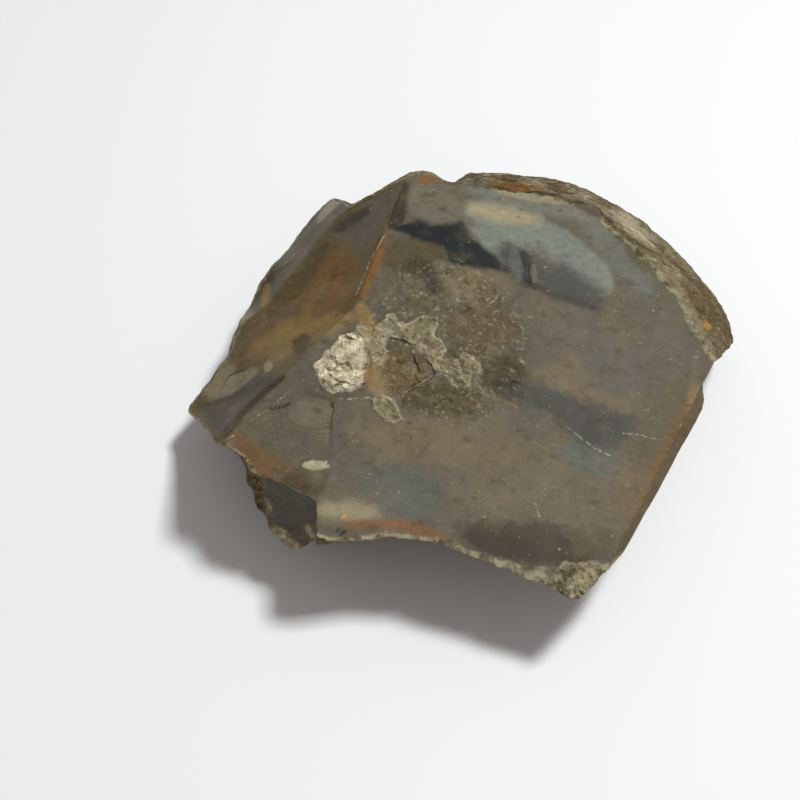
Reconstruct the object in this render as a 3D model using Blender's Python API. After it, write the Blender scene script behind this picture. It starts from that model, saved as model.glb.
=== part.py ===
"""A split flint nodule: one stone, its rounded rind broken away by flat and curved fracture faces.

The frame is in metres, +Z up, with the origin under the middle of the stone on the surface it rests on.
The rind is a sphere whose points are moved out to three smoothly joined lobes. Each fracture face is the
plane of a slab that cuts the nodule; a scar with an inner corner is cut by the overlap of two or three slabs.
"""
import math

import bmesh
import bpy
import numpy as np
from mathutils import Vector

NODE = "flint_nodule"
MM = 0.001                       # all the sizes below are in millimetres

# Rind: centre, half axes, turns about X, Y, Z in degrees
RIGHT_LOBE = ((3.3, -9.5, 29.3), (70.1, 45.9, 19.9), (9.8, 20.8, 56.3))
LEFT_LOBE = ((-34.6, 5.9, 19.5), (35.6, 56.0, 14.5), (14.2, 12.5, 44.6))
FRONT_KNOB = ((-22.6, -20.7, 22.0), (19.5, 22.5, 20.5), (0.0, 0.0, 0.0))
LOBE_BLEND = 9.0                 # width of the waist between the left and right lobes
KNOB_BLEND = 4.0
FRONT_HOLLOW = ((-14.4, -59.1, -2.8), 32.0)      # ball that hollows the rind under the front edge
HOLLOW_BLEND = 2.0

# Swellings and dips of the rind: centre, reach, height (a dip is negative)
SWELLINGS = (
    ((2.4, 7.3, 0.0), 12.0, 3.8),        # the foot that the stone stands on
    ((-17.6, -1.7, 0.0), 12.0, -3.0),    # hollow left of the foot
    ((29.4, 25.3, 0.0), 17.0, -4.2),     # hollow right of the foot
    ((-9.6, -19.7, 2.0), 12.0, -2.0),    # hollow in front of the foot
    ((-55.1, -5.9, 11.0), 8.0, 3.0),     # left tip
    ((18.4, -52.7, 13.0), 9.0, 4.5),     # front corner
    ((43.4, -15.7, 14.0), 10.0, 3.0),    # right flank
)

# A face: a point on it, and the azimuth and elevation that it faces, in degrees
LEFT_LOBE_TRIMS = (
    ((-38.5, 35.9, 12.0), 136.7, 20.3),
    ((-38.5, 35.9, 12.0), 162.0, 9.5),
    ((-26.4, 40.6, 22.1), 64.3, 35.5),
    ((-45.3, 12.6, 16.3), 155.9, 12.5),
)
TRIM_BLEND = 1.0
TIP_UNDERSIDE = ((-55.1, -5.9, 11.0), -120.1, -34.5)

SPLIT_FACE = ((0.0, 0.0, 29.1), -60.6, 79.6)
LEFT_SCAR_UPPER = ((-12.1, 34.6, 35.7), 172.4, 57.2)
LEFT_SCAR_MIDDLE = ((-22.2, 4.4, 31.8), 143.9, 45.9)
LEFT_SCAR_LOWER = ((-31.9, -7.1, 30.8), 146.9, 45.4)
BACK_BEVEL = ((-39.9, 14.1, 19.7), 157.5, 42.8)
FRONT_STEP = ((-47.9, -24.7, 29.4), -116.5, 12.1)
FRONT_STEP_END = ((-28.1, -35.5, 25.9), -178.3, 0.0)
RIGHT_BEVEL = ((41.9, -12.6, 23.3), -30.7, 24.0)
RIGHT_UNDERCUT = ((43.3, -13.4, 19.6), -29.1, -15.6)
CORNER_UNDERCUT = ((26.0, -43.3, 18.8), -44.5, -30.1)
RIM_BREAK_FRONT = ((46.9, -3.3, 24.3), -62.4, -37.6)
RIM_BREAK_SIDE = ((46.9, -3.3, 24.3), -24.1, -25.7)
RIM_BREAK_FLOOR = ((43.1, -13.9, 23.0), 63.4, 47.8)
REST_SPOT = ((0.0, 0.0, 0.0), 0.0, -90.0)
RIM_CHIP = ((-2.7, 36.8, 36.4), 4.4)             # ball that nicks the far rim

# Every scar is the overlap of the slabs behind the faces that it names
SCARS = {
    "split_face": (SPLIT_FACE,),
    "left_scar_middle": (LEFT_SCAR_UPPER, LEFT_SCAR_MIDDLE),
    "left_scar_lower": (LEFT_SCAR_UPPER, LEFT_SCAR_LOWER),
    "back_bevel": (BACK_BEVEL,),
    "front_step": (FRONT_STEP, FRONT_STEP_END),
    "right_bevel": (RIGHT_BEVEL,),
    "right_undercut": (RIGHT_UNDERCUT,),
    "corner_undercut": (CORNER_UNDERCUT,),
    "rim_break": (RIM_BREAK_FRONT, RIM_BREAK_SIDE, RIM_BREAK_FLOOR),
    "rest_spot": (REST_SPOT,),
}

HEART = (0.0, 0.0, 16.0)         # point inside the stone that every point of the rind can see
REACH = 90.0                     # farther from the heart than any of the rind
HALVINGS = 24                    # steps that home in on the rind along a ray
RIND_DETAIL = 5                  # subdivisions of the sphere that the rind starts from
SLAB = 260.0                     # side of a slab
WELD = 0.08                      # corners closer than this become one where a cut leaves a sliver
SHARP_ANGLE = 30.0               # degrees between two faces that meet in a sharp edge

FLINT_COLOUR = (0.16, 0.14, 0.11, 1.0)
FLINT_ROUGHNESS = 0.42


def turn(degrees):
    """Rotation matrix: about X, then Y, then Z."""
    ax, ay, az = np.radians(degrees)
    about_x = np.array([[1, 0, 0], [0, np.cos(ax), -np.sin(ax)], [0, np.sin(ax), np.cos(ax)]])
    about_y = np.array([[np.cos(ay), 0, np.sin(ay)], [0, 1, 0], [-np.sin(ay), 0, np.cos(ay)]])
    about_z = np.array([[np.cos(az), -np.sin(az), 0], [np.sin(az), np.cos(az), 0], [0, 0, 1]])
    return about_z @ about_y @ about_x


def facing(azimuth, elevation):
    """Unit vector that points along an azimuth and elevation in degrees."""
    a, e = np.radians(azimuth), np.radians(elevation)
    return np.array([np.cos(e) * np.cos(a), np.cos(e) * np.sin(a), np.sin(e)])


def join(a, b, width):
    """Smooth union of two distances: the smaller one, rounded over a width."""
    h = np.clip(0.5 + 0.5 * (b - a) / width, 0.0, 1.0)
    return b * (1 - h) + a * h - width * h * (1 - h)


def cut(a, b, width):
    """Smooth overlap of two distances: the larger one, rounded over a width."""
    return -join(-a, -b, width)


def lobe_distance(points, lobe):
    """Distance to an ellipsoid, negative inside."""
    centre, half_axes, turns = lobe
    local = (points - np.array(centre)) @ turn(turns) / np.array(half_axes)
    radius = np.linalg.norm(local, axis=-1)
    slope = np.linalg.norm(local / np.array(half_axes), axis=-1) / radius
    return (radius - 1.0) / slope


def face_distance(points, face):
    """Distance in front of a face's plane."""
    at, azimuth, elevation = face
    return (points - np.array(at)) @ facing(azimuth, elevation)


def rind_distance(points):
    """Distance to the unbroken rind, negative inside it."""
    left = lobe_distance(points, LEFT_LOBE)
    for trim in LEFT_LOBE_TRIMS:
        left = cut(left, face_distance(points, trim), TRIM_BLEND)
    rind = join(lobe_distance(points, RIGHT_LOBE), left, LOBE_BLEND)
    for centre, reach, height in SWELLINGS:
        away = ((points - np.array(centre)) ** 2).sum(axis=-1)
        rind = rind - height * np.exp(-away / reach ** 2)
    rind = cut(rind, face_distance(points, TIP_UNDERSIDE), HOLLOW_BLEND)
    rind = join(rind, lobe_distance(points, FRONT_KNOB), KNOB_BLEND)
    centre, radius = FRONT_HOLLOW
    hollow = radius - np.linalg.norm(points - np.array(centre), axis=-1)
    return cut(rind, hollow, HOLLOW_BLEND)


def make_rind(collection):
    """Nodule before it broke: a sphere with each point moved along its ray to the rind."""
    ball = bmesh.new()
    bmesh.ops.create_icosphere(ball, subdivisions=RIND_DETAIL, radius=1.0)
    rays = np.array([vertex.co.normalized() for vertex in ball.verts])
    near, far = np.zeros(len(rays)), np.full(len(rays), REACH)
    for _ in range(HALVINGS):
        middle = (near + far) / 2
        outside = rind_distance(np.array(HEART) + rays * middle[:, None]) > 0
        far = np.where(outside, middle, far)
        near = np.where(outside, near, middle)
    for vertex, place in zip(ball.verts, (np.array(HEART) + rays * near[:, None]) * MM):
        vertex.co = Vector(place)
    bmesh.ops.recalc_face_normals(ball, faces=ball.faces)
    mesh = bpy.data.meshes.new(NODE)
    ball.to_mesh(mesh)
    ball.free()
    nodule = bpy.data.objects.new(NODE, mesh)
    collection.objects.link(nodule)
    return nodule


def as_cutter(cutter, name, collection):
    """Name a tool, hide it from renders and keep it with the other tools."""
    cutter.name = name
    cutter.hide_render = True
    cutter.display_type = 'WIRE'
    for owner in list(cutter.users_collection):
        owner.objects.unlink(cutter)
    collection.objects.link(cutter)
    return cutter


def add_boolean(target, tool, operation):
    """Exact Boolean of a tool on a target."""
    boolean = target.modifiers.new(tool.name, 'BOOLEAN')
    boolean.operation = operation
    boolean.solver = 'EXACT'
    boolean.object = tool


def make_slab(name, face, collection):
    """Cube whose under side lies on a face, so that it takes away all that is in front of it."""
    at, azimuth, elevation = face
    out = Vector(facing(azimuth, elevation))
    bpy.ops.mesh.primitive_cube_add(size=SLAB * MM)
    slab = bpy.context.active_object
    slab.rotation_mode = 'QUATERNION'
    slab.rotation_quaternion = out.to_track_quat('Z', 'Y')
    slab.location = (Vector(at) + out * SLAB / 2) * MM
    return as_cutter(slab, name, collection)


def cut_scar(nodule, name, faces, cutters):
    """Cut away the overlap of the slabs in front of a scar's faces."""
    first = make_slab("cut_" + name, faces[0], cutters)
    for number, face in enumerate(faces[1:], start=2):
        add_boolean(first, make_slab(f"cut_{name}_{number}", face, cutters), 'INTERSECT')
    add_boolean(nodule, first, 'DIFFERENCE')


def cut_rim_chip(nodule, cutters):
    """Nick the far rim of the split face with a small ball."""
    centre, radius = RIM_CHIP
    bpy.ops.mesh.primitive_uv_sphere_add(segments=16, ring_count=10, radius=radius * MM,
                                         location=Vector(centre) * MM)
    add_boolean(nodule, as_cutter(bpy.context.active_object, "cut_rim_chip", cutters), 'DIFFERENCE')


def keep_cut_shape(nodule):
    """Give the nodule its cut shape as its own mesh, with the slivers along the cuts welded shut."""
    seen = nodule.evaluated_get(bpy.context.evaluated_depsgraph_get())
    whole = nodule.data
    nodule.data = bpy.data.meshes.new_from_object(seen)
    nodule.modifiers.clear()
    bpy.data.meshes.remove(whole)
    shape = bmesh.new()
    shape.from_mesh(nodule.data)
    bmesh.ops.remove_doubles(shape, verts=shape.verts, dist=WELD * MM)
    bmesh.ops.dissolve_degenerate(shape, edges=shape.edges, dist=WELD * MM)
    shape.to_mesh(nodule.data)
    shape.free()


def flint_material():
    """Dull grey-brown flint."""
    material = bpy.data.materials.new("flint")
    material.use_nodes = True
    shader = material.node_tree.nodes["Principled BSDF"]
    shader.inputs["Base Color"].default_value = FLINT_COLOUR
    shader.inputs["Roughness"].default_value = FLINT_ROUGHNESS
    shader.inputs["Metallic"].default_value = 0.0
    return material


def build():
    for old in list(bpy.data.objects):
        bpy.data.objects.remove(old, do_unlink=True)
    parts = bpy.data.collections.new(NODE)
    cutters = bpy.data.collections.new("cutters")
    for collection in (parts, cutters):
        bpy.context.scene.collection.children.link(collection)
    nodule = make_rind(parts)
    nodule.data.materials.append(flint_material())
    for name, faces in SCARS.items():
        cut_scar(nodule, name, faces, cutters)
    cut_rim_chip(nodule, cutters)
    keep_cut_shape(nodule)
    nodule.data.shade_smooth()
    nodule.data.set_sharp_from_angle(angle=math.radians(SHARP_ANGLE))


build()
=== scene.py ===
"""Looks of the split flint nodule: its broken faces, chalky rind and coloured bands, and the stage it lies on.

The stone is one closed surface. Every broken face and the rind is a distance formula in millimetres,
negative inside the stone, and the stone is where all of them are negative. Rays from the stone's heart
find that surface, and a point beside several faces is moved to the edge or corner where they meet.
"""
import math

import bpy
import numpy as np
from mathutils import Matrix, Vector


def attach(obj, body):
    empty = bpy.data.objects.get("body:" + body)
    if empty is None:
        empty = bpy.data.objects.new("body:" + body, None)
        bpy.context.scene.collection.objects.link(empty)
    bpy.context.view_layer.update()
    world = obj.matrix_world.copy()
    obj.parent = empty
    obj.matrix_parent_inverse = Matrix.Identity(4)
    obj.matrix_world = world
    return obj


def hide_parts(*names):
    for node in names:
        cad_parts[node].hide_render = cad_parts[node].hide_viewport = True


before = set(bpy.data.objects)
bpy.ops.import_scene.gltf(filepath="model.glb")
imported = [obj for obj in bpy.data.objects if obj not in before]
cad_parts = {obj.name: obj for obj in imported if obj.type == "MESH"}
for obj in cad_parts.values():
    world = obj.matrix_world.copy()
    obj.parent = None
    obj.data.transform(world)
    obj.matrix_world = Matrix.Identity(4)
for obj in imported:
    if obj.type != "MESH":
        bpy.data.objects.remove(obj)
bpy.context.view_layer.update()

NODE = "flint_nodule"
MM = 0.001                       # sizes and places below are in millimetres
SEED = 7

# ---------------------------------------------------------------- the stone's plain shape, as in the solid

RIGHT_LOBE = ((3.3, -9.5, 29.3), (70.1, 45.9, 19.9), (9.8, 20.8, 56.3))
LEFT_LOBE = ((-34.6, 5.9, 19.5), (35.6, 56.0, 14.5), (14.2, 12.5, 44.6))
FRONT_KNOB = ((-22.6, -20.7, 22.0), (19.5, 22.5, 20.5), (0.0, 0.0, 0.0))
LOBE_BLEND = 9.0
KNOB_BLEND = 4.0
FRONT_HOLLOW = ((-14.4, -59.1, -2.8), 32.0)
HOLLOW_BLEND = 2.0
SWELLINGS = (
    ((2.4, 7.3, 0.0), 12.0, 3.8),
    ((-17.6, -1.7, 0.0), 12.0, -3.0),
    ((29.4, 25.3, 0.0), 17.0, -4.2),
    ((-9.6, -19.7, 2.0), 12.0, -2.0),
    ((-55.1, -5.9, 11.0), 8.0, 3.0),
    ((18.4, -52.7, 13.0), 9.0, 4.5),
    ((43.4, -15.7, 14.0), 10.0, 3.0),
)
LEFT_LOBE_TRIMS = (
    ((-38.5, 35.9, 12.0), 136.7, 20.3),
    ((-38.5, 35.9, 12.0), 162.0, 9.5),
    ((-26.4, 40.6, 22.1), 64.3, 35.5),
    ((-45.3, 12.6, 16.3), 155.9, 12.5),
)
TRIM_BLEND = 1.0
TIP_UNDERSIDE = ((-55.1, -5.9, 11.0), -120.1, -34.5)

SPLIT_FACE = ((0.0, 0.0, 29.1), -60.6, 79.6)
LEFT_SCAR_UPPER = ((-12.1, 34.6, 35.7), 172.4, 57.2)
LEFT_SCAR_MIDDLE = ((-22.2, 4.4, 31.8), 143.9, 45.9)
LEFT_SCAR_LOWER = ((-31.9, -7.1, 30.8), 146.9, 45.4)
BACK_BEVEL = ((-39.9, 14.1, 19.7), 157.5, 42.8)
FRONT_STEP = ((-47.9, -24.7, 29.4), -116.5, 12.1)
FRONT_STEP_END = ((-28.1, -35.5, 25.9), -178.3, 0.0)
RIGHT_BEVEL = ((41.9, -12.6, 23.3), -30.7, 24.0)
RIGHT_UNDERCUT = ((43.3, -13.4, 19.6), -29.1, -15.6)
CORNER_UNDERCUT = ((26.0, -43.3, 18.8), -44.5, -30.1)
RIM_BREAK_FRONT = ((46.9, -3.3, 24.3), -62.4, -37.6)
RIM_BREAK_SIDE = ((46.9, -3.3, 24.3), -24.1, -25.7)
RIM_BREAK_FLOOR = ((43.1, -13.9, 23.0), 63.4, 47.8)
REST_SPOT = ((0.0, 0.0, 0.0), 0.0, -90.0)
RIM_CHIP = ((-2.7, 36.8, 36.4), 4.4)

HEART = np.array([0.0, 0.0, 16.0])
REACH = 90.0

# Each surface's place in the stack of distances
RIND, SPLIT, LEFT, BEVEL, STEP, RIGHT, UNDERCUT, CORNER, BREAK, REST, CHIP = range(11)
RIM = 11                         # the rind, the split face and the rim chip together
SURFACE_NAMES = {
    RIND: "rind", SPLIT: "split", LEFT: "left", BEVEL: "bevel", STEP: "step", RIGHT: "right",
    UNDERCUT: "undercut", CORNER: "corner", BREAK: "break", REST: "rest", CHIP: "chip",
}


def unit(v):
    """Vectors divided by their lengths."""
    return v / np.maximum(np.linalg.norm(v, axis=-1, keepdims=True), 1e-12)


def turn(degrees):
    """Rotation matrix: about X, then Y, then Z."""
    ax, ay, az = np.radians(degrees)
    about_x = np.array([[1, 0, 0], [0, np.cos(ax), -np.sin(ax)], [0, np.sin(ax), np.cos(ax)]])
    about_y = np.array([[np.cos(ay), 0, np.sin(ay)], [0, 1, 0], [-np.sin(ay), 0, np.cos(ay)]])
    about_z = np.array([[np.cos(az), -np.sin(az), 0], [np.sin(az), np.cos(az), 0], [0, 0, 1]])
    return about_z @ about_y @ about_x


def facing(azimuth, elevation):
    """Unit vector that points along an azimuth and elevation in degrees."""
    a, e = np.radians(azimuth), np.radians(elevation)
    return np.array([np.cos(e) * np.cos(a), np.cos(e) * np.sin(a), np.sin(e)])


def join(a, b, width):
    """Smooth union of two distances: the smaller one, rounded over a width."""
    h = np.clip(0.5 + 0.5 * (b - a) / width, 0.0, 1.0)
    return b * (1 - h) + a * h - width * h * (1 - h)


def cut(a, b, width):
    """Smooth overlap of two distances: the larger one, rounded over a width."""
    return -join(-a, -b, width)


def fade(x, low, high):
    """0 below low, 1 above high, and the curve 3t^2 - 2t^3 between."""
    t = np.clip((x - low) / (high - low), 0.0, 1.0)
    return t * t * (3 - 2 * t)


def lobe_distance(points, lobe):
    """Distance to an ellipsoid: (r - 1) / |slope of r|, with r the radius in units of the half axes."""
    centre, half_axes, turns = lobe
    local = (points - np.array(centre)) @ turn(turns) / np.array(half_axes)
    radius = np.linalg.norm(local, axis=-1)
    slope = np.linalg.norm(local / np.array(half_axes), axis=-1) / radius
    return (radius - 1.0) / slope


def face_distance(points, face):
    """Distance in front of a face's plane: (point - place) . direction."""
    at, azimuth, elevation = face
    return (points - np.array(at)) @ facing(azimuth, elevation)


def ball_hollow(points, ball):
    """Distance inside a ball: radius - |point - centre|."""
    centre, radius = ball
    return radius - np.linalg.norm(points - np.array(centre), axis=-1)


def rind_distance(points):
    """The unbroken nodule: two trimmed, smoothly joined lobes and a knob, with swellings and a hollow."""
    left = lobe_distance(points, LEFT_LOBE)
    for trim in LEFT_LOBE_TRIMS:
        left = cut(left, face_distance(points, trim), TRIM_BLEND)
    rind = join(lobe_distance(points, RIGHT_LOBE), left, LOBE_BLEND)
    for centre, reach, height in SWELLINGS:
        away = ((points - np.array(centre)) ** 2).sum(axis=-1)
        rind = rind - height * np.exp(-away / reach ** 2)
    rind = cut(rind, face_distance(points, TIP_UNDERSIDE), HOLLOW_BLEND)
    rind = join(rind, lobe_distance(points, FRONT_KNOB), KNOB_BLEND)
    return cut(rind, ball_hollow(points, FRONT_HOLLOW), HOLLOW_BLEND)


def plain_surfaces(points):
    """Stack of distances, one row for each surface. A scar cut by several faces is the least of them."""
    def least(*faces):
        return np.min([face_distance(points, face) for face in faces], axis=0)
    return np.stack([
        rind_distance(points),
        face_distance(points, SPLIT_FACE),
        np.maximum(least(LEFT_SCAR_UPPER, LEFT_SCAR_MIDDLE), least(LEFT_SCAR_UPPER, LEFT_SCAR_LOWER)),
        face_distance(points, BACK_BEVEL),
        least(FRONT_STEP, FRONT_STEP_END),
        face_distance(points, RIGHT_BEVEL),
        face_distance(points, RIGHT_UNDERCUT),
        face_distance(points, CORNER_UNDERCUT),
        least(RIM_BREAK_FRONT, RIM_BREAK_SIDE, RIM_BREAK_FLOOR),
        face_distance(points, REST_SPOT),
        ball_hollow(points, RIM_CHIP),
    ])


# ---------------------------------------------------------------- grain of the stone

_rng = np.random.default_rng(SEED)
SHUFFLE = np.concatenate([_rng.permutation(256)] * 2)
SLOPES = unit(_rng.normal(size=(256, 3)))


def grain(points, size, offset=0.0):
    """Smooth noise, about -1 to 1: each corner of a lattice of cells of that size has a random slope, and
    the eight slopes round a point are blended with the curve 6t^5 - 15t^4 + 10t^3."""
    place = points / size + offset
    cell = np.floor(place).astype(int)
    part = place - cell
    blend = part ** 3 * (part * (part * 6 - 15) + 10)
    total = np.zeros(len(points))
    for corner in np.ndindex(2, 2, 2):
        at = (cell + corner) & 255
        slope = SLOPES[SHUFFLE[SHUFFLE[SHUFFLE[at[:, 0]] + at[:, 1]] + at[:, 2]]]
        share = np.prod(np.where(np.array(corner, bool), blend, 1 - blend), axis=1)
        total += share * ((part - corner) * slope).sum(axis=1)
    return total * 1.6


def layered(points, size, layers, offset=0.0, gain=0.5):
    """Sum of grains, each layer half the size and gain times the height of the one before."""
    return sum(gain ** k * grain(points, size / 2 ** k, offset + 17.3 * k) for k in range(layers))


def billow(points, size, layers, offset=0.0):
    """Rounded lumps with sharp creases between them: layers of |grain|."""
    return sum(0.5 ** k * np.abs(grain(points, size / 2 ** k, offset + 9.1 * k)) for k in range(layers))


def chips(points, size, offset):
    """Small broken facets seen from above, about -1 to 1: each point lies on the tilted facet of the nearest
    of a set of scattered centres, one in each square cell of that size."""
    place = points[:, :2] / size + offset
    cell = np.floor(place).astype(int)
    nearest = np.full(len(points), np.inf)
    height = np.zeros(len(points))
    for step in np.ndindex(3, 3):
        corner = cell + step - 1
        key = SHUFFLE[SHUFFLE[corner[:, 0] & 255] + (corner[:, 1] & 255)]
        away = place - corner - 0.5 - 0.45 * SLOPES[key, :2]
        distance = (away ** 2).sum(axis=1)
        tilt = SLOPES[SHUFFLE[key]]
        facet = (away * tilt[:, :2]).sum(axis=1) + 0.5 * tilt[:, 2]
        height = np.where(distance < nearest, facet, height)
        nearest = np.minimum(nearest, distance)
    return height


def inside(points, shape, soft):
    """1 inside an oval or outline seen from above, 0 outside, fading over soft mm at its edge."""
    return fade(-shape_distance(points, shape), -soft, soft)


def shape_distance(points, shape):
    """Distance in plan to an oval or to an outline of corners, negative inside."""
    return oval_distance(points, shape) if np.ndim(shape[-1]) == 0 else outline_distance(points, shape)


def oval_distance(points, oval):
    """Distance in plan to an oval, negative inside: its scaled radius less 1, over the slope of that."""
    centre, half_axes, degrees = oval
    c, s = math.cos(math.radians(degrees)), math.sin(math.radians(degrees))
    local = (points[:, :2] - centre) @ np.array([[c, -s], [s, c]]) / half_axes
    radius = np.maximum(np.linalg.norm(local, axis=1), 1e-6)
    slope = np.maximum(np.linalg.norm(local / half_axes, axis=1), 1e-7) / radius
    return (radius - 1.0) / slope


def ragged_distance(points, shape):
    """Distance in plan to a crumbly shape, its edge pushed in and out by noise of two sizes."""
    push = 0.5 * grain(points, 1.3, offset=16.0) + 1.6 * grain(points, 3.4, offset=35.0)
    return shape_distance(points, shape) + push


def outline_distance(points, outline):
    """Distance in plan to a closed outline, negative inside: the least distance to its sides, with its
    sign from how many sides a line to the left crosses."""
    at = points[:, :2]
    start = np.array(outline, float)
    end = np.roll(start, -1, axis=0)
    nearest = np.full(len(at), np.inf)
    crossings = np.zeros(len(at), bool)
    for a, b in zip(start, end):
        side = b - a
        along = np.clip((at - a) @ side / (side @ side), 0.0, 1.0)
        nearest = np.minimum(nearest, ((at - a - along[:, None] * side) ** 2).sum(axis=1))
        spans = (a[1] > at[:, 1]) != (b[1] > at[:, 1])
        cross_x = a[0] + side[0] * (at[:, 1] - a[1]) / (side[1] if side[1] else 1e-9)
        crossings ^= spans & (at[:, 0] < cross_x)
    return np.where(crossings, -1.0, 1.0) * np.sqrt(nearest)


def line_distance(points, line):
    """Distance in plan to an open line of straight runs."""
    at = points[:, :2]
    nearest = np.full(len(at), np.inf)
    for a, b in zip(np.array(line[:-1], float), np.array(line[1:], float)):
        side = b - a
        along = np.clip((at - a) @ side / (side @ side), 0.0, 1.0)
        nearest = np.minimum(nearest, ((at - a - along[:, None] * side) ** 2).sum(axis=1))
    return np.sqrt(nearest)


# ---------------------------------------------------------------- outlines on the broken faces, seen from above

# An oval is its centre, its half axes and its turn in degrees; an outline is its corners
CRUST = ((-17.5, 1), (-15, 2.8), (-13.5, 1.5), (-8, 2.5), (-6, 3), (-6.5, -1), (-3.5, -4), (-6.5, -8.5),
         (-10, -3.8), (-14.5, -1), (-17.5, 0))
POD = ((-2.4, -7.7), (4.1, 3.3), 0)
CHALK_LUMP = ((-23.8, -8), (4, 6), -15)
BEIGE_CRUST = ((-18.3, -4.3), (2.3, 4.9), 20)
BROWN_CENTRE = ((-12.2, -9), (4.3, 5.2), 0)
CREAM_CRUMBS = ((-15.5, -16.5), (2.3, 2.8), 15)
HACKLY_PATCH = ((-4, -1.5), (15, 16.5), 0)
LEAF_LONG = ((9.3, 16), (1.4, 4), 8)
LEAF_SHORT = ((12.9, 13.9), (0.7, 2.1), 0)
PALE_CHIP = ((-28.2, -28.4), (2.7, 0.95), 0)
CORTEX_CORNER = ((19.5, -48.5), (5.5, 4.2), 0)
CORNER_SCAR = ((-31, -3), (-33, -9), (-49, -27), (-38, -33), (-27, -33), (-24.5, -8), (-26, -3))
RIPPLE_CENTRE = (-29.0, -15.0)
LUMPS = ((-3.2, 10.2, 0.9), (-2.7, 8.7, 0.7), (-3.5, 6.8, 0.7), (0.2, 9, 0.9), (-5.5, 14.5, 0.8), (-11.2, -8.2, 1.2),
         (0.2, -7.5, 1.3), (-1.5, 2.5, 0.6), (4.5, -3.3, 0.5), (3, 34.4, 0.6))
STRIKE_LINE = ((-25.9, -15.3), (-26.1, -22), (-25.8, -28))
CRACKS = (
    ((-4, -3.8), (-2.3, -5.2), (-1.7, -6.5), (-1.2, -8.8)),
    ((-20.5, -5), (-19.4, -6.2), (-19, -7.6)),
    ((-22.6, -1.6), (-21.4, -2.6), (-20.9, -3.8)),
    ((-31, -14), (-28, -14.8), (-26, -15.5), (-25.7, -17)),
    ((-38, -17.3), (-35, -17), (-33.5, -16)),
    ((-6.8, -8.8), (-9, -10.5), (-11.5, -12), (-12.9, -14), (-12.9, -15.5)),
    ((-48, -3), (-47, -0.6), (-45, -0.5), (-43, -1)),
)
STEP_LINE = ((15, -17), (18, -18), (20.5, -20.5), (23, -22.5), (26, -24))
SCAR_RIB = ((-27.5, 4.5), (-30, 3.7), (-33, 2.3), (-36, 0.9), (-39, -0.6), (-42, -1.7), (-45, -2.4), (-47.5, -5))
SCAR_TROUGH = ((-34.5, -11.7), (-37, -13), (-40, -15.4), (-42.5, -18.6), (-44, -21.5), (-45.3, -23))

# Each bulge of the rim: its place seen from above, its radius and its height, negative for a hollow
RIM_SWELLS = (
    ((-9.5, 36), 5.5, 1.6), ((-2.8, 37.5), 2.7, -1.5), ((-2.8, 40.5), 2.7, -1.5), ((-2.8, 43.5), 2.7, -1.5),
    ((8, 33), 4.0, -0.7), ((18, 33), 3.5, 0.5), ((25.5, 30), 5.0, 1.9), ((34, 21), 4.0, 0.5),
    ((44, 3.5), 4.0, -0.4), ((23, 42), 7.0, 0.6), ((50.5, 14.5), 6.0, 0.9), ((-42.5, 26.5), 6.0, 1.4),
    ((-46, 13.5), 5.0, 0.8), ((-48.5, 6), 2.0, -0.8), ((5, -46), 5.5, -0.7), ((12.5, -49), 5.0, -0.9),
    ((-11.5, -41.5), 6.0, 1.0), ((-2.5, -43.5), 4.0, 0.5),
)
STEP_BLOBS = (((-35.2, -35.0, 14.5), 2.0), ((-33.2, -35.8, 12.6), 2.2), ((-31.5, -36.4, 11.5), 1.6),
              ((-28.2, -37.2, 18.4), 2.2), ((-26.2, -38.6, 21.0), 2.2), ((-39.4, -30.6, 24.5), 2.0),
              ((-38.4, -32.4, 20.0), 2.0))

# ---------------------------------------------------------------- relief: how far each surface is cut back


def swell(points, centre, radius):
    """Round hump, 1 at its centre: e^(-(distance / radius)^2), in plan."""
    x, y = centre
    return np.exp(-((points[:, 0] - x) ** 2 + (points[:, 1] - y) ** 2) / radius ** 2)


def groove(points, line, width):
    """Groove along a line, 1 at its bottom: e^(-(distance / width)^2), in plan."""
    return np.exp(-(line_distance(points, line) / width) ** 2)


def rim_swells(points):
    """Bulges and hollows of the rim: the sum of their humps, negative where the stone stands out."""
    return sum(-height * swell(points, centre, radius) for centre, radius, height in RIM_SWELLS)


def cortex_blobs(points):
    """Lumps of cortex that cling to the foot of the front step: humps e^(-(distance / radius)^2)."""
    lumps = [np.exp(-((points - np.array(centre)) ** 2).sum(axis=1) / radius ** 2) for centre, radius in STEP_BLOBS]
    return 1.3 * np.max(lumps, axis=0) * (1 + 0.5 * grain(points, 1.5, offset=28.0))


def rind_relief(points):
    """Rough rind: broad lumps, pits and a fine tooth, on the bulges of the rim."""
    lumps = layered(points, 9.0, 3, offset=3.0) * 0.45
    pits = fade(grain(points, 2.6, offset=8.0), 0.25, 0.8) * 0.45
    tooth = layered(points, 1.6, 2, offset=5.0) * 0.16
    return lumps + pits + tooth + 0.1 + rim_swells(points) - cortex_blobs(points)


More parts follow.
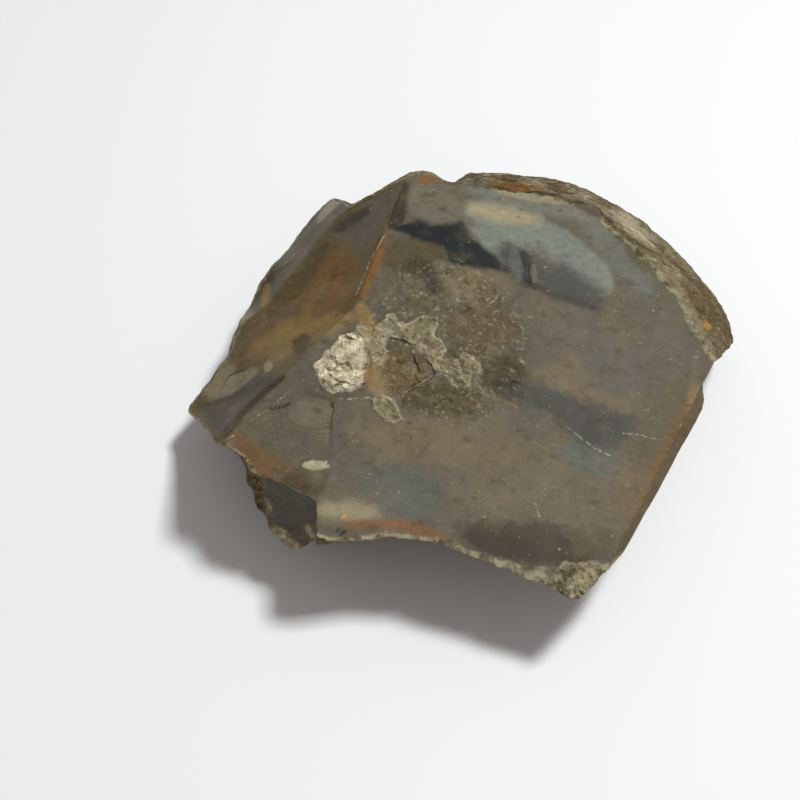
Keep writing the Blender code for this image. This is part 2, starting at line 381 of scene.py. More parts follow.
def centre_relief(points):
    """Crumbly middle of the split face: hackly stone, a crust and its pod, a chalky lump and crumbs;
    and the rubbly cortex at the front corner."""
    bent = points + 0.5 * np.stack([grain(points, 1.6, offset=k) for k in (25.0, 26.0, 27.0)], axis=1)
    coarse, fine = chips(bent, 3.4, 6.0), chips(bent, 1.3, 9.0)
    rough = inside(points, HACKLY_PATCH, 3.0) * fade(grain(points, 5.0, offset=4.0), -0.5, 0.3)
    depth = rough * (0.1 + 0.3 * coarse + 0.16 * fine)
    depth += inside(points, BROWN_CENTRE, 1.2) * (0.35 + 0.2 * coarse + 0.14 * fine)
    crust = fade(-ragged_distance(points, CRUST), -0.15, 0.3)
    depth += crust * (-0.45 + 0.16 * coarse + 0.12 * fine - depth)
    pod = fade(-ragged_distance(points, POD), -0.2, 0.9)
    depth += pod * (-0.6 + 0.22 * fine + 0.3 * fade(grain(points, 1.0, offset=10.0), 0.1, 0.5) - depth)
    beige = fade(-ragged_distance(points, BEIGE_CRUST), -0.2, 0.5)
    depth += beige * (-0.3 + 0.25 * coarse + 0.15 * fine - depth)
    crumbs = fade(-ragged_distance(points, CREAM_CRUMBS), -0.2, 0.4)
    depth += crumbs * (-0.3 + 0.2 * fine)
    edge = ragged_distance(points, CHALK_LUMP)
    lump = fade(-edge, -0.1, 0.9)
    hollows = 0.7 * fade(grain(points, 1.7, offset=21.0), 0.2, 0.55)
    crumbly = 0.2 * coarse + 0.26 * fine + 0.3 * grain(points, 1.0, offset=29.0) + hollows
    depth += lump * (-0.95 - 0.5 * fade(-edge, 0.0, 3.5) + crumbly - depth)
    depth += 0.15 * np.exp(-((edge - 0.5) / 0.45) ** 2)
    rubble = fade(-ragged_distance(points, CORTEX_CORNER), -0.3, 0.8)
    pits = fade(grain(points, 1.8, offset=31.0), 0.1, 0.5)
    return depth + rubble * (0.3 * coarse + 0.3 * fine + 0.5 * pits - 0.1)


def corner_relief(points):
    """Scar at the front left corner: it slopes away to the left, with ripples round its striking point."""
    corner = inside(points, CORNER_SCAR, 0.35)
    slope = np.clip(-26.3 - points[:, 0], 0, None) * 0.05 + 0.2
    east, north = points[:, 0] - RIPPLE_CENTRE[0], points[:, 1] - RIPPLE_CENTRE[1]
    radius = np.hypot(east, north)
    sector = fade(-north - 0.25 * east, -1.0, 2.5) * fade(radius, 3.5, 6.0) * fade(-radius, -15.0, -11.0)
    ripple = np.sin(2 * math.pi * (radius + 0.5 * grain(points, 6.0, offset=12.0)) / 1.35)
    return corner * (slope + 0.02 * ripple * sector)


def split_relief(points):
    """Split face: broad waves and a dish, the crumbly middle, the corner scar, thin flakes, a chip, cracks and lumps."""
    depth = layered(points, 30.0, 2, offset=1.0) * 0.2 + grain(points, 8.0, offset=2.0) * 0.05
    depth += 0.6 * swell(points, (18, -14), 14.0)
    depth += centre_relief(points) + corner_relief(points)
    for leaf in (LEAF_LONG, LEAF_SHORT):
        depth -= 0.22 * fade(-shape_distance(points, leaf), -0.2, 0.5)
    depth -= 0.4 * fade(-shape_distance(points, PALE_CHIP), -0.25, 0.35)
    depth += 0.18 * groove(points, STRIKE_LINE, 0.4) + 0.05 * groove(points, STEP_LINE, 0.6)
    for crack in CRACKS:
        depth += 0.4 * groove(points, crack, 0.35)
    for x, y, radius in LUMPS:
        depth -= 0.32 * swell(points, (x, y), radius)
    return depth


def left_relief(points):
    """Left scars: hollowed, with a rib and a trough that run down beside the ridge."""
    depth = layered(points, 22.0, 2, offset=13.0) * 0.4 + 0.1
    depth += 0.8 * swell(points, (-30, 14), 10.0) + 0.35 * swell(points, (-44, -11), 6.0)
    depth += 0.6 * groove(points, SCAR_TROUGH, 1.0) - 0.45 * groove(points, SCAR_RIB, 1.3)
    return depth + 0.3 * groove(points, CRACKS[-1], 0.4)


def bevel_relief(points):
    """Back bevel: uneven facets on the bulges of the rim."""
    return layered(points, 12.0, 3, offset=22.0) * 0.3 + 0.1 + rim_swells(points)


def step_relief(points):
    """Front step: slightly wavy, with small hackles and lumps of cortex that cling to its foot."""
    depth = layered(points, 12.0, 2, offset=14.0) * 0.25 + 0.1 * layered(points, 1.8, 2, offset=23.0) + 0.05
    return depth - cortex_blobs(points)


def smooth_relief(points):
    """Small scars: slightly wavy."""
    return layered(points, 12.0, 2, offset=14.0) * 0.25 + 0.05


RELIEFS = {
    RIND: rind_relief, SPLIT: split_relief, LEFT: left_relief, BEVEL: bevel_relief, STEP: step_relief,
    RIGHT: smooth_relief, UNDERCUT: smooth_relief, CORNER: smooth_relief, BREAK: smooth_relief,
}
RELIEF_REACH = 3.0               # a surface this far behind the outermost one needs no relief


def nibble(points):
    """How far an edge is crushed back: a hair everywhere, small chips, and larger ones at the left tip."""
    small = fade(layered(points, 2.2, 2, offset=24.0), 0.1, 0.9) * 0.07
    large = fade(grain(points, 5.0, offset=20.0), 0.45, 0.9) * 0.14
    tip = 1 + 3.0 * swell(points, (-48, -22), 12.0)
    return 0.05 + tip * (small + large)


def relieved(points):
    """Stack of distances with the relief of each surface that comes near the outermost one."""
    stack = plain_surfaces(points)
    top = stack.max(axis=0)
    for row, relief in RELIEFS.items():
        near = stack[row] > top - RELIEF_REACH
        stack[row, near] += relief(points[near])
    return stack


def stone_distance(points):
    """Distance to the finished stone. Beside an edge the two outermost surfaces a and b also meet a
    bevel, (a + b) / sqrt 2 + nibble."""
    order = np.sort(relieved(points), axis=0)
    first, second = order[-1], order[-2]
    edge = second > first - 2.5
    bevel = np.full(len(points), -REACH)
    bevel[edge] = (first + second)[edge] / math.sqrt(2) + nibble(points[edge])
    return np.maximum(first, bevel)


# ---------------------------------------------------------------- colours of the stone

# Red, green and blue up to 255, as shown on a screen
BLUE_BLACK = (30, 35, 35)
SLATE = (65, 65, 60)
BLUE_GREY = (85, 90, 85)
PALE_BLUE = (115, 120, 110)
GREY = (90, 85, 70)
HAZE = (105, 100, 85)
MAUVE = (90, 85, 75)
DARK_MAUVE = (65, 60, 50)
UMBER = (50, 40, 30)
DARK_OLIVE = (60, 50, 30)
OLIVE = (80, 70, 45)
BROWN = (95, 80, 55)
TAN = (110, 95, 70)
OCHRE = (135, 110, 65)
AMBER = (110, 80, 45)
RUST = (120, 80, 35)
YELLOW = (195, 145, 55)
KHAKI = (130, 120, 95)
CREAM = (150, 140, 110)
CHALK = (200, 190, 160)

# Each patch, laid over the ones before it: name, surface, colour, how strongly it tints, half the width of
# its soft edge in mm, how far its edge wanders in mm, and its shape: an oval (centre, half axes, turn in
# degrees) or an outline of corners, seen from above
PATCHES = (
    ("right_ground", SPLIT, GREY, 0.8, 5.0, 3.0, ((33, 3), (30, 13), -66)),
    ("pink_ground", SPLIT, TAN, 0.75, 3.5, 3.0, ((-6, -23), (15, 5), -3)),
    ("low_ground", SPLIT, TAN, 0.45, 4.0, 3.0, ((18, -30), (17, 8), 0)),
    ("rim_haze_top", SPLIT, PALE_BLUE, 0.6, 1.8, 1.0, ((12, 30), (13, 2), -12)),
    ("rim_haze_side", SPLIT, PALE_BLUE, 0.45, 1.8, 1.0, ((29, 20), (12, 3), -55)),
    ("rim_shadow", SPLIT, OLIVE, 0.6, 1.0, 0.8, ((34, 18.5), (4, 1.8), -50)),
    ("olive_tan", SPLIT, OLIVE, 0.8, 1.6, 1.0, ((-10, 16.5), (7, 4.5), 10)),
    ("dark_eye", SPLIT, UMBER, 0.7, 1.1, 0.5, ((-10, 14), (1.8, 2.3), 0)),
    ("slate_band", SPLIT, BLUE_BLACK, 1.0, 0.7, 0.9,
     ((-15, 22), (-9, 25), (0, 26), (1, 21), (8, 16.5), (8, 13.5), (-3, 15), (-5, 18.5), (-9, 20))),
    # painted shadow: a dark strip along the foot of the lens
    ("lens_foot", SPLIT, UMBER, 0.7, 0.8, 0.6, ((18, 9.5), (8.5, 1), -20)),
    ("lens", SPLIT, PALE_BLUE, 1.0, 0.8, 1.1, ((14, 19.5), (16.5, 6.7), -31)),
    ("lens_cream", SPLIT, CREAM, 1.0, 1.6, 1.0, ((7, 26.8), (7.5, 1.8), -8)),
    # partly a slate tone and partly painted shade on the lower side of the lens
    ("lens_low", SPLIT, SLATE, 0.9, 2.0, 1.0, ((16.5, 13.5), (12, 3.5), -27)),
    ("mottled_pale", SPLIT, HAZE, 0.9, 1.0, 1.5, ((-6, 28.5), (6, 4.8), -10)),
    ("ridge_shadow", SPLIT, UMBER, 0.8, 0.6, 0.8, ((-13.5, 33.5), (-11, 33), (-12.3, 23.5), (-15.5, 22))),
    ("orange_ridge", SPLIT, RUST, 0.8, 0.6, 1.0, ((-15.3, 21.3), (-18.8, 16), (-22.8, 5), (-20, 6), (-17, 13))),
    ("yellow_streaks", SPLIT, OCHRE, 0.7, 1.0, 1.8, ((-25.5, 1), (3.8, 2.2), 25)),
    ("grey_crumbs", SPLIT, GREY, 0.8, 1.5, 2.0, ((-11.5, 6.5), (6, 4), 0)),
    ("tan_brown", SPLIT, TAN, 0.6, 1.5, 1.5, ((2, 10.5), (6.5, 3), 0)),
    ("warm_brown", SPLIT, BROWN, 0.75, 1.8, 2.0, ((2.5, 1), (6.5, 5.5), 0)),
    ("beige", SPLIT, CREAM, 0.9, 0.5, 0.8, BEIGE_CRUST),
    ("ochre", SPLIT, OCHRE, 0.7, 0.7, 1.4, ((-17.8, -10.5), (2.3, 3.4), 20)),
    ("dark_smear", SPLIT, UMBER, 0.6, 0.8, 1.0, ((-7, 11.5), (1.5, 3.5), 10)),
    ("dark_hollow", SPLIT, OLIVE, 0.6, 0.9, 1.2, ((-9.2, 5.2), (2.2, 2.3), 0)),
    ("cream_vein", SPLIT, OCHRE, 0.8, 0.5, 1.0, ((-22.3, 5), (-20, 5.5), (-17, -0.5), (-17.6, -2.5), (-20.5, 1))),
    ("brown_centre", SPLIT, BROWN, 0.9, 0.9, 1.2, BROWN_CENTRE),
    ("hackly_olive", SPLIT, OLIVE, 0.8, 1.2, 1.6, ((-5.5, -14), (7.5, 3.3), 0)),
    ("smoke", SPLIT, DARK_OLIVE, 0.7, 1.8, 1.6, ((6.5, -8.3), (4.6, 4.2), 0)),
    ("crust", SPLIT, KHAKI, 0.9, 0.2, 0.3, CRUST),
    ("pod", SPLIT, KHAKI, 1.0, 0.3, 0.3, POD),
    ("chalk", SPLIT, CHALK, 1.0, 0.3, 0.3, CHALK_LUMP),
    ("cream_crumbs", SPLIT, KHAKI, 0.9, 0.3, 0.3, CREAM_CRUMBS),
    ("tan_patch", SPLIT, TAN, 0.8, 1.3, 1.2,
     ((12, -7.5), (17, -4), (20, -3), (25, -9), (31, -14), (25, -13.5), (16, -10.5))),
    ("mauve_patch", SPLIT, MAUVE, 0.6, 1.4, 2.2, ((28, -6), (6.5, 6), 0)),
    ("slate_patch", SPLIT, SLATE, 0.85, 1.5, 2.4,
     ((6, -10), (12, -9.5), (21, -12.5), (30, -15), (31, -18), (25, -24), (20, -21), (14, -16.5), (7, -12.5))),
    ("blue_grey", SPLIT, BLUE_GREY, 0.8, 1.5, 1.6, ((22.5, -24.5), (6.3, 3), -12)),
    ("right_mauve", SPLIT, MAUVE, 0.6, 2.0, 2.0, ((39, -1), (4, 8), 15)),
    ("right_stain", SPLIT, BROWN, 0.6, 2.4, 2.4, ((34, -22.5), (20, 4.8), 62)),
    ("right_edge", SPLIT, AMBER, 0.7, 1.2, 1.6, ((36.5, -23.5), (18, 2), 62)),
    ("right_yellow", SPLIT, OCHRE, 0.7, 0.8, 1.2, ((43, -11.5), (1.6, 4), 0)),
    ("dark_front", SPLIT, DARK_OLIVE, 0.85, 1.8, 3.0, ((10.5, -41.5), (12.8, 4.2), -8)),
    ("darkest_front", SPLIT, UMBER, 0.6, 1.4, 2.4, ((5.5, -42.3), (6.5, 2.3), -8)),
    ("corner_brown", SPLIT, OLIVE, 0.8, 1.2, 1.5, ((21.5, -40.5), (4.2, 3), 0)),
    ("scar_grey", SPLIT, GREY, 0.9, 0.8, 0.8, ((-29, -12), (-26, -28), (-32, -31), (-44, -23))),
    ("scar_light", SPLIT, HAZE, 0.7, 1.2, 1.0, ((-29.5, -17.8), (3.7, 2.7), 0)),
    ("amber_lip", SPLIT, AMBER, 0.65, 1.2, 1.4,
     ((-51, -26), (-44, -21.5), (-30, -30), (-29, -35), (-36, -37), (-47, -31))),
    ("mauve_lip", SPLIT, DARK_MAUVE, 0.7, 1.4, 1.4, ((-31.5, -31.8), (4.6, 2.5), -15)),
    ("mauve_haze", SPLIT, MAUVE, 0.5, 2.0, 2.0, ((-23.5, -27), (4.6, 6), 0)),
    ("slate_haze", SPLIT, BLUE_GREY, 0.55, 2.2, 2.0, ((-13.5, -32.5), (7.8, 5), 0)),
    ("cream_front", SPLIT, CREAM, 0.7, 1.6, 2.0, ((-23, -37), (6.5, 2), 0)),
    ("yellow_spot", SPLIT, YELLOW, 0.8, 0.3, 0.4, ((-23, -38.2), (0.8, 0.7), 0)),
    ("cortex_corner", SPLIT, KHAKI, 0.9, 0.4, 1.8, CORTEX_CORNER),
    ("leaf_shadow", SPLIT, BLUE_BLACK, 0.8, 0.5, 0.3, ((11.5, 15), (1.5, 3.8), 10)),
    ("leaf_long", SPLIT, BLUE_GREY, 0.8, 0.25, 0.3, LEAF_LONG),
    ("leaf_short", SPLIT, HAZE, 0.8, 0.25, 0.3, LEAF_SHORT),
    ("pale_chip", SPLIT, CHALK, 0.6, 0.2, 0.3, PALE_CHIP),
    ("cortex_brown", RIM, BROWN, 0.7, 1.6, 1.2, ((48.3, 9.5), (4.6, 9.8), 0)),
    ("cortex_yellow", RIM, YELLOW, 0.6, 0.35, 0.5, ((46.8, 5.9), (1, 1.1), 0)),
    ("cortex_edge", RIM, KHAKI, 0.8, 0.4, 0.8, ((42.5, 10), (12.5, 1.3), -66)),
    ("cortex_white", RIM, CHALK, 0.45, 1.8, 4.0, ((34.5, 31.5), (3.6, 8), 8)),
    ("cortex_line", RIM, OLIVE, 0.8, 0.35, 0.4, ((33.2, 23.3), (3.7, 0.9), -38)),
    ("rim_dark", RIM, DARK_MAUVE, 0.8, 0.7, 0.6, ((24.8, 29.4), (5, 1.4), -25)),
    ("cream_top", RIM, CREAM, 0.7, 0.35, 0.4, ((12, 31.3), (7.5, 0.8), -8)),
    ("brown_top", RIM, DARK_OLIVE, 0.8, 0.4, 0.5, ((9.5, 33.2), (10, 0.9), -3)),
    ("orange_top", RIM, RUST, 0.85, 0.4, 0.5, ((10, 35.3), (6.3, 1.3), -5)),
    ("orange_chip", RIM, RUST, 0.8, 0.3, 0.5, ((-7, 34.2), (2.5, 1.1), 20)),
    ("brown_chunk", RIM, UMBER, 0.8, 0.35, 0.4, ((-23.6, -40.9), (1.3, 0.9), 0)),
    ("orange_front", RIM, RUST, 0.8, 0.45, 0.7,
     ((-26, -40.5), (-21, -38.6), (-13, -38), (-7.5, -39.2), (-2.5, -42), (-9, -41), (-14, -40.1))),
    ("scar_brown", LEFT, BROWN, 0.9, 2.5, 2.0, ((-28.5, 15), (11, 7), 70)),
    ("scar_warm", LEFT, AMBER, 0.65, 3.0, 2.0, ((-27, 14), (10, 5), 70)),
    ("scar_mauve", LEFT, MAUVE, 0.9, 1.6, 1.2, ((-12, 33), (-20.5, 15), (-23.5, 23), (-28, 27.5), (-20, 31.5))),
    ("scar_dark_mauve", LEFT, DARK_MAUVE, 0.8, 0.9, 0.8, ((-23, 28.5), (4, 1.8), 12)),
    ("scar_edge", LEFT, OLIVE, 0.8, 1.4, 1.2, ((-32.5, 19), (9.5, 2.6), 52)),
    ("scar_spot", LEFT, DARK_MAUVE, 0.5, 1.2, 0.8, ((-34.6, 10.2), (2.2, 1.9), 0)),
    ("scar_low_tan", LEFT, OCHRE, 0.7, 2.0, 1.2, ((-36.3, 4.3), (6, 3), 10)),
    ("yellow_rib", LEFT, OCHRE, 0.6, 1.2, 1.2, ((-31.5, 0.3), (8, 3.2), 25)),
    ("low_mauve", LEFT, DARK_MAUVE, 0.9, 1.0, 0.8,
     ((-47.5, -6), (-44, -2.5), (-34.5, -11), (-45, -21), (-47, -21), (-52.5, -5.5))),
    # painted highlight: the lit side of the rib on the left scar, made paler
    ("pale_rib", LEFT, KHAKI, 0.8, 0.8, 0.8, ((-44.3, -4), (4.3, 2.4), 20)),
    ("dark_amber", LEFT, UMBER, 0.7, 0.9, 0.8, ((-31.8, -1.5), (1.8, 3.5), 0)),
    ("trough_shade", LEFT, DARK_MAUVE, 0.8, 0.7, 0.5, ((-39.8, -17), (7.8, 1.1), 48)),
    ("cream_flake", LEFT, CREAM, 0.7, 0.3, 0.5, ((-38.3, -3.9), (1, 2.2), 10)),
    ("left_pale", LEFT, KHAKI, 0.9, 1.2, 0.8, ((-49.5, 0), (4, 6), 25)),
    ("bevel_pale", BEVEL, CREAM, 0.7, 1.2, 0.8, ((-44.8, 10.8), (2.8, 6.3), 0)),
    ("bevel_dark", BEVEL, DARK_OLIVE, 0.8, 0.9, 0.8, ((-39.7, 26.5), (2.5, 6), -10)),
    ("bevel_grey", BEVEL, GREY, 0.8, 1.2, 1.0, ((-34, 31.5), (4.3, 7), -25)),
    ("bevel_olive", BEVEL, OLIVE, 0.8, 1.2, 1.0, ((-30.5, 30.2), (2.8, 4.7), 0)),
    ("bevel_tip", BEVEL, CREAM, 0.9, 0.8, 0.8, ((-27, 39.5), (2.2, 4.8), -40)),
    ("bevel_spot", BEVEL, OLIVE, 0.8, 0.8, 0.6, ((-43, 19.3), (1.9, 3), 0)),
    ("bevel_yellow", BEVEL, OCHRE, 0.8, 0.6, 0.6, ((-40.3, 17.7), (0.9, 4.3), 0)),
)
GROUNDS = (
    (SPLIT, GREY), (LEFT, BROWN), (BEVEL, GREY), (STEP, MAUVE), (RIGHT, BROWN), (UNDERCUT, BROWN),
    (CORNER, BROWN), (BREAK, BROWN), (CHIP, BROWN),
)
HAIRLINES = (
    ((-25.5, -15.2), (-22, -14.9), (-19, -14.6), (-17, -14.8)),
    ((28, -18.8), (31.5, -19), (35.5, -20)),
    ((4.2, 6.8), (5.2, 7.6), (5.8, 8.8), (5.9, 9.8)),
    ((-12.9, -15.5), (-12.9, -14), (-11.5, -12), (-9, -10.5), (-6.8, -8.8)),
    ((-33, -10.9), (-33.3, -13.6), (-37, -17), (-40.5, -20), (-45, -24.5)),
    ((18, -18), (20.5, -20.3), (23, -22.2), (26, -23.7)),
    ((26.3, -29.5), (28.8, -30.8)),
    ((38.8, -17), (42.3, -16.2), (40.2, -18.2)),
    ((11.3, -33.5), (12.2, -37)),
    ((-3.6, -30.6), (-3, -31.6)),
    ((-2.6, -32.4), (-0.4, -33.8)),
    ((-15.6, 21.6), (-17.2, 18.2), (-18.4, 15.6)), ((-19, 14.6), (-20.2, 11), (-21.6, 7)),
)
YELLOW_LINES = (((11.5, -21.5), (12.8, -22.4), (14, -23)), ((3.2, -12.6), (6, -13.4), (8.6, -14.6)),
                ((-28.5, 1.5), (-26, 3)))


# ---------------------------------------------------------------- rays, lattice and mesh

def march(rays, distance, near, far, halvings):
    """Where each ray from the heart leaves the stone: halve the stretch between near and far."""
    for _ in range(halvings):
        middle = (near + far) / 2
        outside = distance(HEART + rays * middle[:, None]) > 0
        far = np.where(outside, middle, far)
        near = np.where(outside, near, middle)
    return (near + far) / 2


def plain_distance(points):
    return plain_surfaces(points).max(axis=0)


CELLS_X, CELLS_Y = 132, 126      # coarse cells across the underside; the upper side has twice as many
RINGS = 5                        # rows of coarse cells between the two


def disc(u, v):
    """Square grid bent to a disc: x = u sqrt(1 - v^2 / 2), y = v sqrt(1 - u^2 / 2)."""
    return u * np.sqrt(1 - v * v / 2), v * np.sqrt(1 - u * u / 2)


def border(count_x, count_y):
    """Positions round the edge of a (count_x + 1) by (count_y + 1) grid, in order, as row numbers."""
    index = np.arange((count_x + 1) * (count_y + 1)).reshape(count_x + 1, count_y + 1)
    return np.concatenate([index[:-1, 0], index[-1, :-1], index[:0:-1, -1], index[0, :0:-1]])


def cap(count_x, count_y, bulge):
    """One cap of the lattice: a disc of grid points whose height is the function bulge(r)."""
    u, v = np.meshgrid(np.linspace(-1, 1, count_x + 1), np.linspace(-1, 1, count_y + 1), indexing="ij")
    x, y = disc(u.ravel(), v.ravel())
    return np.stack([54.0 * x, 51.0 * y, bulge(np.hypot(x, y))], axis=1)


def grid_faces(count_x, count_y, first, flip):
    """Four-sided faces of a grid whose points are numbered from first."""
    index = first + np.arange((count_x + 1) * (count_y + 1)).reshape(count_x + 1, count_y + 1)
    quads = np.stack([index[:-1, :-1], index[1:, :-1], index[1:, 1:], index[:-1, 1:]], axis=-1)
    quads = quads.reshape(-1, 4)
    return quads[:, ::-1] if flip else quads


def lattice():
    """Closed lattice round the heart: a fine upper cap, a coarse lower cap and rings of cells between.
    A ring cell under the upper cap has five corners, as the cap's border has twice as many points."""
    fine_x, fine_y = 2 * CELLS_X, 2 * CELLS_Y
    upper = cap(fine_x, fine_y, lambda r: 36.0 - 25.0 * r ** 4)
    lower = cap(CELLS_X, CELLS_Y, lambda r: 5.0 * r ** 4)
    upper_rim = border(fine_x, fine_y)
    lower_rim = border(CELLS_X, CELLS_Y)
    share = np.arange(1, RINGS)[:, None, None] / RINGS
    rings = upper[upper_rim[::2]] * (1 - share) + lower[lower_rim] * share
    around = len(lower_rim)
    places = np.concatenate([upper, lower, rings.reshape(-1, 3)])
    first_lower = len(upper)
    first_ring = first_lower + len(lower)
    rows = np.concatenate([
        upper_rim[None, ::2],
        first_ring + np.arange((RINGS - 1) * around).reshape(RINGS - 1, around),
        first_lower + lower_rim[None],
    ])
    onward = np.roll(rows, -1, axis=1)
    sides = np.stack([rows[1:-1], rows[2:], onward[2:], onward[1:-1]], axis=-1).reshape(-1, 4)
    fives = np.stack([rows[0], rows[1], onward[1], onward[0], upper_rim[1::2]], axis=-1)
    quads = np.concatenate([
        grid_faces(fine_x, fine_y, 0, flip=False),
        grid_faces(CELLS_X, CELLS_Y, first_lower, flip=True),
        sides,
    ])
    return places, quads, fives


def gather(values, faces, count):
    """Sum, at every point, of a value of each face round it."""
    flat = values.reshape(len(values), -1)
    sides = faces.shape[1]
    total = np.stack([np.bincount(faces.ravel(), np.repeat(column, sides), count) for column in flat.T], axis=1)
    return total.reshape((count,) + values.shape[1:])


def relax(places, quads, fives, rounds):
    """Even out the lattice on the plain stone: move each point towards the middle of the cells round it,
    then back on to the stone along its ray."""
    count = len(places)
    share = gather(np.ones(len(quads)), quads, count) + gather(np.ones(len(fives)), fives, count)
    rays = unit(places - HEART)
    for _ in range(rounds):
        reach = march(rays, plain_distance, np.zeros(count), np.full(count, REACH), 18)
        at = HEART + rays * reach[:, None]
        for _ in range(6):
            total = gather(at[quads].mean(axis=1), quads, count) + gather(at[fives].mean(axis=1), fives, count)
            at = total / share[:, None]
        rays = unit(at - HEART)
    reach = march(rays, plain_distance, np.zeros(count), np.full(count, REACH), 18)
    return rays, reach


def slope_at(points, step=0.12):
    """Direction in which the distance grows fastest, from differences over a small step."""
    slope = np.zeros_like(points)
    for axis in range(3):
        shift = np.zeros(3)
        shift[axis] = step
        slope[:, axis] = stone_distance(points + shift) - stone_distance(points - shift)
    return unit(slope)


def shape_stone():
    """Points and faces of the finished stone.

    Each cell's middle ray finds the stone there and the way it faces. A lattice point then goes where
    the planes of the cells round it meet best: it solves sum(n n^T) x = sum(n n^T q), held a little
    towards their middle, so that edges and corners stay sharp."""
    places, quads, fives = lattice()
    rays, reach = relax(places, quads, fives, rounds=5)
    count = len(rays)
    pull = 0.06
    normal_sum = np.zeros((count, 3, 3))
    target_sum = np.zeros((count, 3))
    middle_sum = np.zeros((count, 3))
    share = np.zeros(count)
    for faces in (quads, fives):
        face_rays = unit((rays * reach[:, None])[faces].mean(axis=1))
        guess = reach[faces].mean(axis=1)
        hit = march(face_rays, stone_distance, guess - 5.0, guess + 4.0, 13)
        at = HEART + face_rays * hit[:, None]
        out = slope_at(at)
        outer = out[:, :, None] * out[:, None, :]
        normal_sum += gather(outer, faces, count)
        target_sum += gather(np.einsum("nij,nj->ni", outer, at), faces, count)
        middle_sum += gather(at, faces, count)
        share += gather(np.ones(len(faces)), faces, count)
    middle = middle_sum / share[:, None]
    weight = (pull * share)[:, None]
    matrix = normal_sum + weight[:, :, None] * np.eye(3)
    at = np.linalg.solve(matrix, (target_sum + weight * middle)[:, :, None])[:, :, 0]
    move = at - middle
    length = np.linalg.norm(move, axis=1, keepdims=True)
    at = middle + move * np.minimum(1.0, 0.7 / np.maximum(length, 1e-9))
    return at, quads, fives


def make_mesh(name, points, quads, fives):
    """Mesh from arrays of points in mm and of four- and five-sided faces."""
    mesh = bpy.data.meshes.new(name)
    corners = np.concatenate([quads.ravel(), fives.ravel()])
    sizes = np.concatenate([np.full(len(quads), 4), np.full(len(fives), 5)])
    mesh.vertices.add(len(points))
    mesh.vertices.foreach_set("co", (points * MM).astype(np.float32).ravel())
    mesh.loops.add(len(corners))
    mesh.loops.foreach_set("vertex_index", corners.astype(np.int32))
    mesh.polygons.add(len(sizes))
    mesh.polygons.foreach_set("loop_start", (np.cumsum(sizes) - sizes).astype(np.int32))
    mesh.update(calc_edges=True)
    mesh.validate()
    mesh.shade_smooth()
    mesh.set_sharp_from_angle(angle=math.radians(32))
    return mesh


def store(mesh, name, values):
    """Store one number for each point under a name that the material reads."""
    layer = mesh.attributes.new(name, "FLOAT", "POINT")
    layer.data.foreach_set("value", np.asarray(values, np.float32))


def mark_stone(mesh, points):
    """Numbers in mm that the material reads at each point: how far it is off each surface (negative on
    it), how deep under the cortex, and how far outside each patch and line (negative inside a patch)."""
    stack = relieved(points)
    order = np.sort(stack, axis=0)
    for row, name in SURFACE_NAMES.items():
        rival = np.where(stack[row] == order[-1], order[-2], order[-1])
        store(mesh, "off_" + name, np.clip(rival - stack[row], -3, 3))
    thickness = 0.4 + 1.9 * swell(points, (20, -52), 13.0) + 0.4 * swell(points, (48, 4), 22.0)
    thickness += 1.2 * swell(points, (-39.5, -32), 4.0) + 0.35 * fade(-points[:, 1], 36.0, 42.0)
    store(mesh, "cortex", np.clip(-stack[RIND], 0, 12) - thickness)
    store(mesh, "hackly", shape_distance(points, HACKLY_PATCH))
    for name, *_, shape in PATCHES:
        away = ragged_distance if name in CRUSTS else shape_distance
        store(mesh, name, away(points, shape))
    for name, lines in (("cracks", CRACKS), ("hairlines", HAIRLINES), ("yellow_lines", YELLOW_LINES)):
        store(mesh, name, np.min([line_distance(points, line) for line in lines], axis=0))
    lumps = [np.hypot(points[:, 0] - x, points[:, 1] - y) - radius for x, y, radius in LUMPS]
    store(mesh, "lumps", np.min(lumps, axis=0))
    store(mesh, "blobs", cortex_blobs(points))
    south = -(points[:, 1] - RIPPLE_CENTRE[1]) - 0.25 * (points[:, 0] - RIPPLE_CENTRE[0])
    store(mesh, "ripples", np.maximum(shape_distance(points, CORNER_SCAR), -south))


def make_stone():
    """The whole nodule as one piece, standing for the solid."""
    points, quads, fives = shape_stone()
    mesh = make_mesh("stone", points, quads, fives)
    mark_stone(mesh, points)
    stone = bpy.data.objects.new("flint_stone", mesh)
    bpy.context.scene.collection.objects.link(stone)
    mesh.materials.append(flint_material())
    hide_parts(NODE)
    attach(stone, "root")
    return stone


# ---------------------------------------------------------------- material: nodes

CRUSTS = ("beige", "crust", "pod", "chalk", "cream_crumbs", "cortex_corner")


def linear(colour):
    """Red, green and blue up to 255, as shown on a screen, turned to the light that they stand for."""
    return tuple(((c / 255 + 0.055) / 1.055) ** 2.4 for c in colour) + (1.0,)


def node(tree, kind, inputs, **settings):
    """New shader node with its settings, and each input set to a number or joined to another's output."""
    made = tree.nodes.new("ShaderNode" + kind)
    for name, value in settings.items():
        setattr(made, name, value)
    for name, value in inputs.items():
        if isinstance(value, bpy.types.NodeSocket):
            tree.links.new(value, made.inputs[name])
        else:
            made.inputs[name].default_value = value
    return made


def sums(tree, operation, *values, **settings):
    """One sum on numbers, such as ADD or MULTIPLY."""
    return node(tree, "Math", dict(enumerate(values)), operation=operation, **settings).outputs[0]


def between(tree, value, low, high, start=0.0, end=1.0):
    """start where the value is at low, end where it is at high, and a smooth step between."""
    inputs = {"Value": value, "From Min": low, "From Max": high, "To Min": start, "To Max": end}
    return node(tree, "MapRange", inputs, interpolation_type="SMOOTHSTEP").outputs[0]


def blend(tree, share, first, second):
    """Colour that goes from the first to the second as the share goes from 0 to 1."""
    return node(tree, "Mix", {0: share, 6: first, 7: second}, data_type="RGBA").outputs[2]


